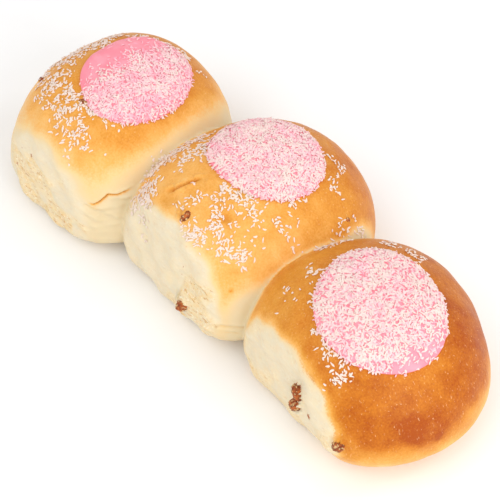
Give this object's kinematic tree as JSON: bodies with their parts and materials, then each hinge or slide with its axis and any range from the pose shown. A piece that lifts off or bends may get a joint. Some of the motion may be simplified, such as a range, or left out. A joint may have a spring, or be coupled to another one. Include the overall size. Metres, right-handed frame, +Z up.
{
  "type": "row of iced raspberry buns",
  "caption": "Row of joined sweet buns with a torn side, each with a disc of pink icing and coconut on its crown.",
  "frame": {"origin": "middle of the row's footprint, on the flat base", "axes": "+X along the row, -Y towards the torn side, +Z up"},
  "size_m": [0.2458, 0.1059, 0.0654],
  "materials": {
    "crust": "soft satin baked crust, pale crumb on the torn side",
    "icing": "pink icing under white desiccated coconut",
    "sultana": "wrinkled, satin"
  },
  "bodies": {
    "root": {"bun_row": "crust", "icing_1": "icing", "icing_2": "icing", "icing_3": "icing", "sultana_1": "sultana", "sultana_2": "sultana", "sultana_3": "sultana", "sultana_4": "sultana", "sultana_5": "sultana", "sultana_6": "sultana", "sultana_7": "sultana", "sultana_8": "sultana"}
  },
  "joints": []
}
